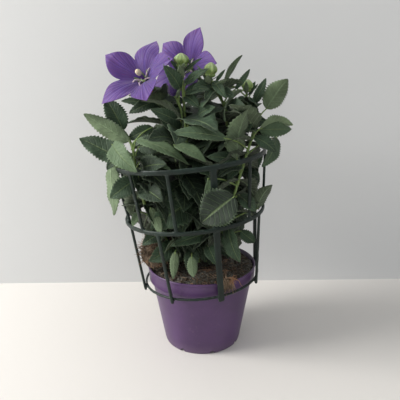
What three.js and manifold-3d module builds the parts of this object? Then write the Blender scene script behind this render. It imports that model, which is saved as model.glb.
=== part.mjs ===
// A potted balloon flower: a plastic pot of potting mix, a leafy plant with two open
// flowers and four buds, and the moulded support cage that holds its stems together.
// Millimetres, +Z up. The origin is the centre of the pot's flat base.
import * as THREE from "three";
import { mergeVertices } from "three/addons/utils/BufferGeometryUtils.js";
import Module from "manifold-3d";

const wasm = await Module();
wasm.setup();

// Driving dimensions
const POT = {
  rimRadius: 52.5,
  height: 80,
  baseRadius: 37.5,
  footBevel: 1.5,
  bandHeight: 14,
  bandStep: 3.4,
  bandDraft: 0.9,
  wall: 1.3,
  floor: 1.8,
};
// Notches through the foot of the pot's wall.
const DRAIN = { count: 8, radius: 2.4, ring: 36, height: 5, turn: 14 };
const SOIL = { gap: 0.4, edgeLevel: 75, crown: 6, clods: 0.7, rings: [4, 11, 19, 28, 37] };
const CLUMP = { centre: [-41, -11, 91], half: [15, 20, 20], bottom: 82.5, lumps: 0.09 };
const CAGE = { lean: 5.3, floorHeight: 67.5, phase: 17 };
const RING_LOW = { radius: 55, level: 0, height: 2.4, thick: 2 };
const RING_MID = { radius: 65, level: 65.5, height: 3.8, thick: 2.4 };
const RING_TOP = { radius: 70, level: 118.5, height: 4.4, thick: 2.4 };
const RIB = { mainWidth: 5.5, thinWidth: 3, thick: 2.2, mains: 4, lowers: 8, uppers: 12, footLength: 3 };
const BAR_BEVEL = 0.4; // on the edges of hoops and ribs
const GAP = 0.35; // clearance between pieces that touch
const LEAF = { thick: 0.6, rows: 8, fold: 0.3, baseShare: 0.22, tipShare: 0.06 };
const STEM = { radius: 1.4, rise: 1, neck: 4, arcs: 8, steps: 12 };
const COROLLA = { radius: 37, thick: 0.8, depth: 0.42, notch: 0.5, lobes: 5 };
const BUD = { radius: 6, length: 13 };
const COLUMN = { radius: 1.6, waist: 0.7, length: 11, stigma: 3.4, lip: 0.8, flare: 3 };
// How many flats stand for a full turn of each round piece.
const FLATS = { pot: 48, drain: 10, soil: 30, hoop: 54, corolla: 40, column: 10, bud: 20 };

const MATERIALS = {
  pot: new THREE.MeshStandardMaterial({ color: 0x74438f, roughness: 0.42, metalness: 0 }),
  soil: new THREE.MeshStandardMaterial({ color: 0x3a2a20, roughness: 1, metalness: 0 }),
  cage: new THREE.MeshStandardMaterial({ color: 0x1f3d36, roughness: 0.5, metalness: 0 }),
  stem: new THREE.MeshStandardMaterial({ color: 0x6f8a45, roughness: 0.6, metalness: 0 }),
  leaf: new THREE.MeshStandardMaterial({ color: 0x34502f, roughness: 0.6, metalness: 0 }),
  petal: new THREE.MeshStandardMaterial({ color: 0x6b45b0, roughness: 0.6, metalness: 0 }),
  bud: new THREE.MeshStandardMaterial({ color: 0x88a653, roughness: 0.6, metalness: 0 }),
  stigma: new THREE.MeshStandardMaterial({ color: 0xd8bfa0, roughness: 0.7, metalness: 0 }),
};

const radians = THREE.MathUtils.degToRad;
const plant = new THREE.Group();

// A piece of the object: a named mesh added to a group.
function piece(name, geometry, material, group = plant) {
  const mesh = new THREE.Mesh(geometry, MATERIALS[material]);
  mesh.name = name;
  group.add(mesh);
  return mesh;
}

// Lathe a closed profile of [radius, height] points about +Z.
function lathe(points, segments) {
  const profile = points.map(([radius, height]) => new THREE.Vector2(radius, height));
  return new THREE.LatheGeometry(profile, segments).rotateX(Math.PI / 2);
}

function toSolid(geometry) {
  const bare = geometry.clone();
  bare.deleteAttribute("normal");
  bare.deleteAttribute("uv");
  const merged = mergeVertices(bare, 1e-3);
  return new wasm.Manifold(
    new wasm.Mesh({
      numProp: 3,
      vertProperties: merged.attributes.position.array,
      triVerts: new Uint32Array(merged.index.array),
    }),
  );
}

function toGeometry(solid) {
  const mesh = solid.getMesh();
  const geometry = new THREE.BufferGeometry();
  geometry.setAttribute("position", new THREE.BufferAttribute(mesh.vertProperties, 3));
  geometry.setIndex(new THREE.BufferAttribute(mesh.triVerts, 1));
  return geometry;
}

// The outside radius of the pot's wall below its rim band.
function potRadius(height) {
  const share = height / (POT.height - POT.bandHeight);
  return POT.baseRadius + (POT.rimRadius - POT.bandStep - POT.baseRadius) * share;
}

function makePot() {
  const bandFoot = POT.height - POT.bandHeight;
  const rim = POT.rimRadius;
  const profile = [
    [0, 0],
    [POT.baseRadius - POT.footBevel, 0],
    [POT.baseRadius, POT.footBevel],
    [potRadius(bandFoot), bandFoot],
    [rim - POT.bandDraft, bandFoot],
    [rim, POT.height - 0.8],
    [rim - 0.5, POT.height],
    [rim - POT.wall, POT.height - 0.5],
    [rim - POT.bandDraft - POT.wall, bandFoot + 1.6],
    [potRadius(bandFoot) - POT.wall, bandFoot - 1],
    [potRadius(POT.floor) - POT.wall, POT.floor],
    [0, POT.floor],
  ];
  let solid = toSolid(lathe(profile, FLATS.pot));
  for (let i = 0; i < DRAIN.count; i++) {
    const turn = radians(DRAIN.turn) + (2 * Math.PI * i) / DRAIN.count;
    const drill = new THREE.CylinderGeometry(DRAIN.radius, DRAIN.radius, DRAIN.height, FLATS.drain);
    drill.rotateX(Math.PI / 2);
    drill.translate(DRAIN.ring * Math.cos(turn), DRAIN.ring * Math.sin(turn), 0);
    solid = solid.subtract(toSolid(drill));
  }
  piece("pot", toGeometry(solid), "pot");
}

// How high the potting mix stands: crowned in the middle, and uneven.
function soilTop(radius, angle) {
  const outer = POT.rimRadius;
  const crown = SOIL.crown * (1 - (radius / outer) ** 2);
  const clods = Math.sin(3 * angle + radius / 6) + Math.sin(4 * angle - radius / 5);
  return SOIL.edgeLevel + crown + SOIL.clods * clods * Math.min(1, radius / 12);
}

function makeSoil() {
  const bandFoot = POT.height - POT.bandHeight;
  const wallRadius = (height) => potRadius(height) - POT.wall - SOIL.gap;
  const edge = POT.rimRadius - POT.bandDraft - POT.wall - SOIL.gap;
  const top = 1000; // marks the points that belong to the top surface
  const profile = [
    [0, POT.floor + SOIL.gap],
    [wallRadius(POT.floor + SOIL.gap), POT.floor + SOIL.gap],
    [wallRadius(bandFoot - 1.5), bandFoot - 1.5],
    [edge, bandFoot + 2.2],
    [edge, top],
    ...SOIL.rings.map((inset) => [edge - inset, top]),
    [0, top],
  ];
  const geometry = lathe(profile, FLATS.soil);
  const at = geometry.attributes.position;
  for (let i = 0; i < at.count; i++) {
    if (at.getZ(i) < top - 1) continue;
    at.setZ(i, soilTop(Math.hypot(at.getX(i), at.getY(i)), Math.atan2(at.getY(i), at.getX(i))));
  }
  piece("potting_mix", geometry, "soil");
}

// The clump of matted coir that rides up on the potting mix and leans out over the pot's rim.
function makeClump() {
  const ball = new THREE.SphereGeometry(1, 20, 12).rotateX(Math.PI / 2);
  const at = ball.attributes.position;
  const [halfX, halfY, halfZ] = CLUMP.half;
  for (let i = 0; i < at.count; i++) {
    const [x, y, z] = [at.getX(i), at.getY(i), at.getZ(i)];
    const swell = 1 + CLUMP.lumps * (Math.sin(4 * x + 3 * z) + Math.sin(5 * y - 3 * z));
    const height = CLUMP.centre[2] + halfZ * swell * z;
    at.setXYZ(i, CLUMP.centre[0] + halfX * swell * x, CLUMP.centre[1] + halfY * swell * y, height);
    if (height < CLUMP.bottom) at.setZ(i, CLUMP.bottom + 0.02 * (height - CLUMP.bottom));
  }
  piece("coir_clump", ball, "soil");
}

// A hoop of the cage: a bevelled rectangular section turned about the cage's axis.
function makeHoop(name, hoop, cage) {
  const [half, up, bevel] = [hoop.thick / 2, hoop.height / 2, BAR_BEVEL];
  const profile = [
    [hoop.radius + half, -up + bevel],
    [hoop.radius + half, up - bevel],
    [hoop.radius + half - bevel, up],
    [hoop.radius - half + bevel, up],
    [hoop.radius - half, up - bevel],
    [hoop.radius - half, -up],
    [hoop.radius + half - bevel, -up],
    [hoop.radius + half, -up + bevel],
  ].map(([radius, height]) => [radius, height + hoop.level]);
  piece(name, lathe(profile, FLATS.hoop), "cage", cage);
}

// A rib: its centre line in the plane through the cage's axis, thickened and extruded to its width.
function makeRib(name, line, width, angle, cage) {
  const centre = line.map(([radius, height]) => new THREE.Vector2(radius, height));
  const sides = [[], []];
  centre.forEach((point, i) => {
    const ahead = centre[Math.min(i + 1, centre.length - 1)];
    const behind = centre[Math.max(i - 1, 0)];
    const normal = ahead.clone().sub(behind).normalize().rotateAround(new THREE.Vector2(), -Math.PI / 2);
    sides[0].push(point.clone().addScaledVector(normal, RIB.thick / 2));
    sides[1].unshift(point.clone().addScaledVector(normal, -RIB.thick / 2));
  });
  const outline = new THREE.Shape([...sides[0], ...sides[1]]);
  const geometry = new THREE.ExtrudeGeometry(outline, {
    depth: width - 2 * BAR_BEVEL,
    bevelThickness: BAR_BEVEL,
    bevelSize: BAR_BEVEL,
    bevelOffset: -BAR_BEVEL,
    bevelSegments: 1,
  });
  geometry.translate(0, 0, BAR_BEVEL - width / 2).rotateX(Math.PI / 2);
  geometry.rotateZ(angle - Math.PI / 2);
  piece(name, geometry, "cage", cage);
}

function makeCage() {
  const cage = new THREE.Group();
  cage.position.z = CAGE.floorHeight;
  cage.rotation.y = -radians(CAGE.lean);
  plant.add(cage);
  makeHoop("cage_hoop_low", RING_LOW, cage);
  makeHoop("cage_hoop_middle", RING_MID, cage);
  makeHoop("cage_hoop_top", RING_TOP, cage);

  const under = (hoop) => hoop.level - hoop.height / 2 - GAP;
  const over = (hoop) => hoop.level + hoop.height / 2 + GAP;
  const insideMid = RING_MID.radius - RING_MID.thick / 2 - GAP - RIB.thick / 2;
  const outsideLow = RING_LOW.radius + RING_LOW.thick / 2 + GAP + RIB.thick / 2;
  const foot = [outsideLow, RING_LOW.level - RIB.footLength];
  const turn = (i, count) => radians(CAGE.phase + (360 * i) / count);

  for (let i = 0; i < RIB.mains; i++) {
    const line = [foot, [insideMid, RING_MID.level], [RING_TOP.radius, under(RING_TOP)]];
    makeRib(`cage_rib_main_${i + 1}`, line, RIB.mainWidth, turn(i, RIB.mains), cage);
  }
  for (let i = 1; i < RIB.lowers; i += 2) {
    const line = [foot, [RING_MID.radius, under(RING_MID)]];
    makeRib(`cage_rib_lower_${(i + 1) / 2}`, line, RIB.thinWidth, turn(i, RIB.lowers), cage);
  }
  let upper = 0;
  for (let i = 0; i < RIB.uppers; i++) {
    if (i % (RIB.uppers / RIB.mains) === 0) continue;
    upper += 1;
    const line = [[RING_MID.radius, over(RING_MID)], [RING_TOP.radius, under(RING_TOP)]];
    makeRib(`cage_rib_upper_${upper}`, line, RIB.thinWidth, turn(i, RIB.uppers), cage);
  }
}

// The heads that the stems carry: where each one's base is, and the way it faces.
const HEADS = {
  flower_left: { base: [-46, -14, 252], facing: [-0.4, -0.68, 0.62], spin: 16 },
  flower_back: { base: [-7, 16, 262], facing: [-0.52, -0.78, 0.34], spin: 72 },
  bud_middle: { base: [-15, -26, 264], facing: [0, -0.1, 1] },
  bud_right: { base: [8, -25, 256], facing: [0.15, -0.1, 1] },
  bud_far_right: { base: [41, -8, 243], facing: [0.1, 0, 1] },
  bud_purple: { base: [-20, -30, 240], facing: [-0.45, -0.3, 0.85] },
};

// Stems, each a smooth curve through its points, from just over the soil to the head it holds:
// name, foot, points, head.
const STEMS = [
  ["stem_flower_left", [-10, 2], [[-20, 0, 150], [-28, 6, 205], [-33, 2, 238]], "flower_left"],
  ["stem_flower_back", [0, 9], [[-3, 22, 150], [0, 30, 215], [-1, 28, 246]], "flower_back"],
  ["stem_bud_middle", [-3, -7], [[-9, -16, 150], [-12, -22, 205]], "bud_middle"],
  ["stem_bud_right", [5, -4], [[16, -8, 150], [24, -14, 200], [19, -21, 236]], "bud_right"],
  ["stem_bud_far_right", [9, 4], [[26, 8, 150], [40, 2, 200]], "bud_far_right"],
  ["stem_bud_purple", [-8, -10], [[-18, -20, 150], [-17, -28, 205], [-16, -28, 230]], "bud_purple"],
  ["stem_right", [11, -8], [[26, -36, 148], [34, -40, 178], [50, -24, 224]]],
  ["stem_left", [-14, -8], [[-42, -28, 130], [-53, -38, 165], [-57, -36, 202]]],
];

function makeStems() {
  for (const [name, foot, points, holds] of STEMS) {
    const ground = soilTop(Math.hypot(...foot), Math.atan2(foot[1], foot[0]));
    const start = new THREE.Vector3(...foot, ground + STEM.rise);
    const route = [start, ...points.map((point) => new THREE.Vector3(...point))];
    if (holds) {
      const base = new THREE.Vector3(...HEADS[holds].base);
      const facing = new THREE.Vector3(...HEADS[holds].facing).normalize();
      route.push(base.clone().addScaledVector(facing, -STEM.neck - GAP));
      route.push(base.clone().addScaledVector(facing, -GAP));
    }
    const section = new THREE.Shape();
    section.absarc(0, 0, STEM.radius, 0, 2 * Math.PI);
    const geometry = new THREE.ExtrudeGeometry(section, {
      steps: STEM.steps,
      extrudePath: new THREE.CatmullRomCurve3(route),
      curveSegments: STEM.arcs,
    });
    piece(name, geometry, "stem");
  }
}

// Place a head made about +Z: its base at its stem's end, turned to face its way.
function placeHead(mesh, { base, facing, spin = 0 }) {
  const forward = new THREE.Vector3(...facing).normalize();
  const across = new THREE.Vector3(0, 0, 1).cross(forward).normalize();
  const turned = new THREE.Matrix4().makeBasis(across, forward.clone().cross(across), forward);
  mesh.quaternion.setFromRotationMatrix(turned);
  mesh.rotateZ(radians(spin));
  mesh.position.set(...base);
}

// An open flower: a shallow bell whose rim is drawn out into five pointed lobes.
function makeCorolla(name, head) {
  const rows = [0.12, 0.3, 0.48, 0.66, 0.84, 1];
  const rise = (share) => COROLLA.depth * COROLLA.radius * share ** 0.8;
  const inside = rows.map((share) => [share, rise(share) + COROLLA.thick]);
  const outside = rows.map((share) => [share, rise(share)]);
  const geometry = lathe([[0, 0], ...outside, ...inside.reverse(), [0, COROLLA.thick]], FLATS.corolla);
  const at = geometry.attributes.position;
  for (let i = 0; i < at.count; i++) {
    const share = Math.hypot(at.getX(i), at.getY(i));
    const angle = Math.atan2(at.getY(i), at.getX(i));
    const notch = Math.abs(Math.sin((COROLLA.lobes / 2) * angle)) ** 0.9;
    const reach = share * COROLLA.radius * (1 - COROLLA.notch * notch * share);
    at.setX(i, reach * Math.cos(angle));
    at.setY(i, reach * Math.sin(angle));
  }
  placeHead(piece(name, geometry, "petal"), head);
}

// The style in the middle of an open flower, ending in its spread stigma.
function makeColumn(name, head) {
  const foot = COROLLA.thick + 4 * GAP;
  const end = foot + COLUMN.length;
  const profile = [
    [0, foot],
    [COLUMN.radius, foot],
    [COLUMN.radius * COLUMN.waist, end - COLUMN.flare],
    [COLUMN.stigma, end - COLUMN.lip],
    [COLUMN.stigma, end],
    [0, end + 0.3],
  ];
  placeHead(piece(name, lathe(profile, FLATS.column), "stigma"), head);
}

// A closed bud: the balloon that gives the plant its name, faintly five-sided with a blunt point.
function makeBud(name, material, head) {
  const lower = [[0, 0], [0.45, 0.03], [0.85, 0.25], [1, 0.5]];
  const upper = [[0.86, 0.74], [0.5, 0.92], [0.15, 0.98], [0, 1]];
  const profile = [...lower, ...upper].map(([r, h]) => [r * BUD.radius, h * BUD.length]);
  const geometry = lathe(profile, FLATS.bud);
  placeHead(piece(name, geometry, material), head);
}

function makeHeads() {
  makeCorolla("corolla_left", HEADS.flower_left);
  makeCorolla("corolla_back", HEADS.flower_back);
  makeColumn("style_left", HEADS.flower_left);
  makeColumn("style_back", HEADS.flower_back);
  makeBud("bud_middle", "bud", HEADS.bud_middle);
  makeBud("bud_right", "bud", HEADS.bud_right);
  makeBud("bud_far_right", "bud", HEADS.bud_far_right);
  makeBud("bud_purple", "petal", HEADS.bud_purple);
}

// A leaf blade: a thin plate from its base to its tip, ovate in outline, folded up a little along its
// midrib and bowed upwards along its length. Roll turns it about the line from base to tip.
function makeLeaf(name, base, tip, width, bow, roll) {
  const from = new THREE.Vector3(...base);
  const along = new THREE.Vector3(...tip).sub(from);
  const length = along.length();
  const plate = new THREE.BoxGeometry(1, 2, 1, LEAF.rows, 2, 1);
  const forward = along.clone().normalize();
  const side = new THREE.Vector3(0, 0, 1).cross(forward).normalize().applyAxisAngle(forward, radians(roll));
  const normal = forward.clone().cross(side);
  const at = plate.attributes.position;
  for (let i = 0; i < at.count; i++) {
    const share = at.getX(i) + 0.5;
    const ovate = Math.sin(Math.PI * share ** 0.75) ** 0.8;
    const least = THREE.MathUtils.lerp(LEAF.baseShare, LEAF.tipShare, share);
    const half = (at.getY(i) * width * Math.max(ovate, least)) / 2;
    const lift = bow * 4 * share * (1 - share) + LEAF.fold * Math.abs(half) + at.getZ(i) * LEAF.thick;
    const point = from.clone().addScaledVector(forward, share * length);
    point.addScaledVector(side, half).addScaledVector(normal, lift);
    at.setXYZ(i, point.x, point.y, point.z);
  }
  piece(name, plate, "leaf");
}

// The larger leaves: name, base, tip, width, bow, roll.
const LEAVES = [
  ["leaf_left_1", [-66, -28, 188], [-104, -24, 208], 22, -3, -50],
  ["leaf_left_2", [-60, -34, 204], [-97, -28, 226], 15, 2, -70],
  ["leaf_left_3", [-66, -22, 212], [-80, -22, 240], 18, 2, -70],
  ["leaf_left_4", [-73, -38, 202], [-51, -62, 184], 18, 5, 60],
  ["leaf_left_5", [-76, -34, 184], [-71, -44, 143], 18, 3, 60],
  ["leaf_front_1", [-53, -40, 206], [-10, -55, 191], 12, 4, 40],
  ["leaf_front_2", [-21, -58, 204], [4, -63, 192], 11, 3, 40],
  ["leaf_front_3", [20, -53, 208], [-23, -55, 214], 13, 3, -50],
  ["leaf_front_4", [30, -46, 190], [37, -42, 230], 24, 3, -80],
  ["leaf_right_1", [58, -12, 228], [75, -14, 253], 20, 3, -80],
  ["leaf_right_2", [50, -33, 213], [77, -34, 217], 16, 4, -40],
  ["leaf_right_3", [66, -18, 204], [54, -30, 180], 15, 3, -80],
  ["leaf_right_4", [50, -24, 140], [62, -26, 164], 15, 3, -60],
  ["leaf_top_1", [22, -2, 250], [36, 4, 274], 7, 1, -70],
  ["leaf_top_2", [36, -22, 244], [17, -42, 222], 12, 4, 50],
  ["leaf_inner_1", [26, -71, 165], [0, -75, 145], 31, 3, -60],
  ["leaf_inner_2", [-12, -34, 152], [-42, -40, 130], 26, 3, 60],
  ["leaf_low_1", [24, -32, 127], [33, -46, 98], 17, 3, 70],
  ["leaf_low_2", [-4, -24, 116], [-34, -40, 108], 18, 3, 40],
  ["leaf_back_1", [14, 36, 190], [30, 72, 200], 20, 5, 0],
  ["leaf_back_2", [-20, 32, 196], [-44, 66, 206], 20, 5, 0],
  ["leaf_back_3", [-30, 24, 150], [-52, 56, 142], 22, 5, 10],
];

makePot();
makeSoil();
makeClump();
makeCage();
makeStems();
makeHeads();
for (const leaf of LEAVES) makeLeaf(...leaf);

export default plant;
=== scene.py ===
"""A potted balloon flower, built round its frame: pot, potting mix, cage, stems, leaves and flowers."""

import math
import random

import bmesh
import bpy
import numpy as np
from bpy.props import FloatProperty, FloatVectorProperty, IntProperty, PointerProperty
from mathutils import Matrix, Vector, noise
from mathutils.bvhtree import BVHTree


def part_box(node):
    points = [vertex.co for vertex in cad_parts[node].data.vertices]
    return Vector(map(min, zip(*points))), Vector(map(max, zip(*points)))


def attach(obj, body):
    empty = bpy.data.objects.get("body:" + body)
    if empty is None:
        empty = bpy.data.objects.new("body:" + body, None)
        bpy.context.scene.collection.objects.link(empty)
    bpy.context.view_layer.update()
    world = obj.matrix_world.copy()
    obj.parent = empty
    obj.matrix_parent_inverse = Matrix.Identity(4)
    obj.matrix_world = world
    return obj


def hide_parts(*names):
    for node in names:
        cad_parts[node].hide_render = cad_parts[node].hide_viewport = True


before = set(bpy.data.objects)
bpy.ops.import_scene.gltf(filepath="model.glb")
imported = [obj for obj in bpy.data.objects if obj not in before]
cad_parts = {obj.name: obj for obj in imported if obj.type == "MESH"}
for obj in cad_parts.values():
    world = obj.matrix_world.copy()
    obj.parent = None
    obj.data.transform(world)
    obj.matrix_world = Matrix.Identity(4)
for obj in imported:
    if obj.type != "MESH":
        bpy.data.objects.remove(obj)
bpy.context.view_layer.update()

bl_info = {
    "name": "Potted balloon flower",
    "version": (1, 0, 0),
    "blender": (4, 5, 0),
    "location": "3D View > Sidebar > Balloon flower",
    "description": "Builds a balloon flower in its pot and support cage, piece by piece",
    "category": "Object",
}

MM = 0.001
UP = Vector((0, 0, 1))
SIDE_VEINS, VEIN_SLANT = 8, 1.7
LEAF_NODES = sorted(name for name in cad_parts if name.startswith("leaf_"))
STEM_NODES = sorted(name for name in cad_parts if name.startswith("stem_"))
HOOP_NODES = sorted(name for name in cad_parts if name.startswith("cage_hoop"))
RIB_NODES = sorted(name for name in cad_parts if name.startswith("cage_rib"))
POT_LOW, POT_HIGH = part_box("pot")
# Each kind of piece draws its chances from its own run of seeds, counted on from the plant's seed.
SEEDS = {
    "leaves": 0, "soil": 20, "stems": 40, "blooms": 70, "small_leaves": 100, "sprays": 200, "bracts": 389,
}


def colour(name, label, value):
    """A colour property of a finish."""
    return FloatVectorProperty(
        name=name, description=label, default=value, subtype="COLOR", size=3, min=0, max=1
    )


def length(name, label, value):
    """A length property, in metres."""
    return FloatProperty(name=name, description=label, default=value, subtype="DISTANCE", unit="LENGTH")


def angle(name, label, value):
    """An angle property, in radians."""
    return FloatProperty(name=name, description=label, default=value, subtype="ANGLE")


class PotSettings(bpy.types.PropertyGroup):
    """Sizes and colour of the pot and what fills it."""

    rim_radius: length("Rim radius", "Outer radius at the top of the rim band", (POT_HIGH.x - POT_LOW.x) / 2)
    height: length("Height", "Height of the pot", POT_HIGH.z)
    base_radius: length("Base radius", "Outer radius of the foot", 37.5 * MM)
    band_height: length("Band height", "Height of the rim band", 14 * MM)
    band_step: length("Band step", "How far the band stands out from the wall", 3.4 * MM)
    wall: length("Wall", "Thickness of the wall", 1.3 * MM)
    drain_radius: length("Drain radius", "Radius of a drain notch", 2.4 * MM)
    drain_ring: length("Drain ring", "Radius of the ring of drain notches", 36 * MM)
    plastic: colour("Plastic", "Colour of the pot", (0.068, 0.0275, 0.099))
    soil: colour("Potting mix", "Colour of the damp potting mix", (0.080, 0.074, 0.062))
    fibre: colour("Coir", "Colour of dry coir fibre", (0.21, 0.15, 0.10))


class PlantSettings(bpy.types.PropertyGroup):
    """Colours and amounts of the plant's pieces."""

    seed: IntProperty(name="Seed", description="Seed for the natural variation", default=11)
    leaf: colour("Leaf", "Upper side of a leaf", (0.038, 0.071, 0.036))
    leaf_under: colour("Leaf underside", "Lower side of a leaf", (0.15, 0.21, 0.11))
    stem: colour("Stem", "Colour of the stems", (0.17, 0.25, 0.075))
    petal: colour("Petal", "Colour of the open petals", (0.070, 0.029, 0.160))
    bud: colour("Bud", "Colour of a green bud", (0.21, 0.31, 0.09))
    style: colour("Stigma", "Colour of the stigma", (0.72, 0.62, 0.45))
    leaf_thickness: length("Leaf thickness", "Thickness of a leaf blade", 0.35 * MM)
    petal_thickness: length("Petal thickness", "Thickness of a petal", 0.45 * MM)


class CageSettings(bpy.types.PropertyGroup):
    """The support cage."""

    plastic: colour("Plastic", "Colour of the cage", (0.0040, 0.0125, 0.0085))
    swell: length("Swell", "How far the moulded skin stands out from the plain bars", 0.12 * MM)
    grain: length("Grain", "Size of the skin's mesh", 0.75 * MM)


class StageSettings(bpy.types.PropertyGroup):
    """The floor, the backdrop and the camera."""

    floor: colour("Floor", "Colour of the floor", (0.70, 0.675, 0.64))
    wall: colour("Backdrop", "Colour of the backdrop", (0.66, 0.665, 0.66))
    wall_distance: length("Backdrop distance", "How far the backdrop stands behind the pot", 0.12)
    camera_distance: length("Camera distance", "How far the camera stands in front of the pot", 0.40725)
    camera_height: length("Camera height", "Height of the camera", 0.25647)
    camera_side: length("Camera offset", "How far the camera stands to the right of the pot", -0.00096)
    lens: FloatProperty(name="Lens", description="Focal length in millimetres", default=40.03, unit="CAMERA")
    pitch: angle("Pitch", "How far the camera looks down", 0.2725)
    roll: angle("Roll", "How far the camera leans", -0.0115)


# ---------------------------------------------------------------- finishes


class Value:
    """A socket in a finish's nodes. Arithmetic on it adds Math nodes."""

    def __init__(self, finish, socket):
        self.finish = finish
        self.socket = socket

    def math(self, operation, *others):
        """The result of a Math node fed with this value and the others."""
        inputs = dict(enumerate((self, *others)))
        return self.finish.node("ShaderNodeMath", {"operation": operation}, inputs)

    def __add__(self, other):
        return self.math("ADD", other)

    __radd__ = __add__

    def __mul__(self, other):
        return self.math("MULTIPLY", other)

    __rmul__ = __mul__

    def __sub__(self, other):
        return self.math("SUBTRACT", other)

    def __rsub__(self, other):
        return self * -1 + other

    def __truediv__(self, other):
        return self.math("DIVIDE", other)

    def __pow__(self, other):
        return self.math("POWER", other)

    def size(self):
        return self.math("ABSOLUTE")

    def ramp(self, low, high, to_low=0.0, to_high=1.0):
        """The value eased from one range to another, and held at its ends."""
        settings = {"interpolation_type": "SMOOTHSTEP"}
        inputs = {0: self, 1: low, 2: high, 3: to_low, 4: to_high}
        return self.finish.node("ShaderNodeMapRange", settings, inputs)

    def line(self, width):
        """1 where the value is near a whole number, falling to 0 at the given width from it."""
        return self.math("PINGPONG", 0.5).ramp(0.0, width, 1.0, 0.0)


class Finish:
    """A material under construction: its nodes, and the Principled shader that they feed."""

    def __init__(self, name, **sockets):
        self.material = bpy.data.materials.new(name)
        self.material.use_nodes = True
        self.tree = self.material.node_tree
        self.shader = self.tree.nodes["Principled BSDF"]
        for key, value in sockets.items():
            self.set(key.replace("_", " ").title().replace("Ior", "IOR"), value)

    def feed(self, socket, value):
        """Link a value to a socket, or set a plain number or colour on it."""
        if isinstance(value, Value):
            self.tree.links.new(value.socket, socket)
        elif hasattr(socket.default_value, "__len__") and len(socket.default_value) == 4 and len(value) == 3:
            socket.default_value = (*value, 1)
        else:
            socket.default_value = value

    def set(self, socket, value):
        """Feed a named input of the shader."""
        self.feed(self.shader.inputs[socket], value)

    def node(self, kind, settings=None, inputs=None, output=0):
        """A new node with its settings and inputs; gives one of its outputs."""
        made = self.tree.nodes.new(kind)
        for key, value in (settings or {}).items():
            setattr(made, key, value)
        for key, value in (inputs or {}).items():
            self.feed(made.inputs[key], value)
        return Value(self, made.outputs[output])

    def place(self):
        """Object coordinates: metres in the part's own frame."""
        return self.node("ShaderNodeTexCoord", output="Object")

    def own(self, name):
        """A number that the mesh carries on its points."""
        return self.node("ShaderNodeAttribute", {"attribute_name": name}, output="Fac")

    def noise(self, scale, detail=4.0, roughness=0.55, stretch=None):
        """Noise over the piece, stretched where its grain runs one way."""
        where = self.place()
        if stretch:
            where = self.node("ShaderNodeVectorMath", {"operation": "MULTIPLY"}, {0: where, 1: stretch})
        inputs = {"Vector": where, "Scale": scale, "Detail": detail, "Roughness": roughness}
        return self.node("ShaderNodeTexNoise", None, inputs)

    def cells(self, scale, feature="F1"):
        """Cells over the piece: the distance to a cell's centre, or to its edge."""
        inputs = {"Vector": self.place(), "Scale": scale}
        return self.node("ShaderNodeTexVoronoi", {"feature": feature}, inputs)

    def mix(self, share, first, second):
        """A colour between two others."""
        return self.node("ShaderNodeMix", {"data_type": "RGBA"}, {0: share, 6: first, 7: second}, output=2)

    def bump(self, height, distance, strength):
        """A surface roughened by a height."""
        inputs = {"Height": height, "Distance": distance, "Strength": strength}
        return self.node("ShaderNodeBump", None, inputs)


def shade(tone, factor):
    """A colour made lighter or darker."""
    return tuple(min(1.0, channel * factor) for channel in tone)


def pot_plastic():
    """Violet moulded plastic: faint draw lines down the wall, mottled gloss, dull at the foot."""
    tone = tuple(bpy.context.scene.flower_pot.plastic)
    finish = Finish("pot_plastic", specular_ior_level=0.5)
    height = finish.node("ShaderNodeSeparateXYZ", None, {0: finish.place()}, output="Z")
    cloud = finish.noise(28, 4)
    draw = finish.noise(1, 3, stretch=(900, 900, 14))
    scuff = finish.noise(260, 5, 0.7).ramp(0.56, 0.72)
    foot = height.ramp(0.0, 0.012, 1.0, 0.0)
    worn = finish.mix(cloud.ramp(0.35, 0.7), shade(tone, 0.86), shade(tone, 1.14))
    dusty = finish.mix(scuff * 0.16 + foot * 0.22, worn, (0.24, 0.19, 0.24))
    finish.set("Base Color", dusty)
    finish.set("Roughness", cloud * 0.12 + draw * 0.08 + scuff * 0.14 + foot * 0.15 + 0.3)
    finish.set("Normal", finish.bump(draw * 0.5 + finish.noise(420, 3) * 0.5, 0.00012, 0.35))
    return finish.material


def cage_plastic():
    """Dark green moulded plastic, satin, with a fine sink-marked skin, and its upward faces painted paler,
    partly dust and partly a painted highlight from above.
    """
    tone = tuple(bpy.context.scene.flower_cage.plastic)
    finish = Finish("cage_plastic", specular_ior_level=0.35)
    cloud = finish.noise(60, 4)
    skin = finish.noise(900, 3)
    normal = finish.node("ShaderNodeNewGeometry", output="Normal")
    up = finish.node("ShaderNodeSeparateXYZ", None, {0: normal}, output="Z")
    # Upward faces are painted paler in patches: a little dust, and a painted highlight where light falls on
    # the tops.
    dust_and_top_light = up.ramp(0.2, 1.0) * finish.noise(240, 5, 0.7).ramp(0.42, 0.7)
    worn = finish.mix(cloud.ramp(0.35, 0.68), shade(tone, 0.75), shade(tone, 1.35))
    finish.set("Base Color", finish.mix(dust_and_top_light * 0.35, worn, (0.16, 0.2, 0.17)))
    finish.set("Roughness", cloud * 0.15 + dust_and_top_light * 0.25 + 0.33)
    finish.set("Normal", finish.bump(skin + cloud * 2, 0.00015, 0.4))
    return finish.material


def potting_mix():
    """Damp peat: near black crumbs, with brown grains and pale specks."""
    pot = bpy.context.scene.flower_pot
    tone = tuple(pot.soil)
    finish = Finish("potting_mix", roughness=0.95, specular_ior_level=0.2)
    grain = finish.noise(520, 6, 0.7)
    lumps = finish.cells(330)
    brown = finish.mix(grain.ramp(0.4, 0.68), shade(tone, 0.55), shade(tone, 2.6))
    fleck = finish.cells(900).ramp(0.0, 0.16, 1.0, 0.0) * finish.noise(160, 2).ramp(0.5, 0.66)
    finish.set("Base Color", finish.mix(fleck * 0.7, brown, tuple(pot.fibre)))
    finish.set("Normal", finish.bump(grain + lumps * 0.8, 0.0016, 0.9))
    return finish.material


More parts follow.
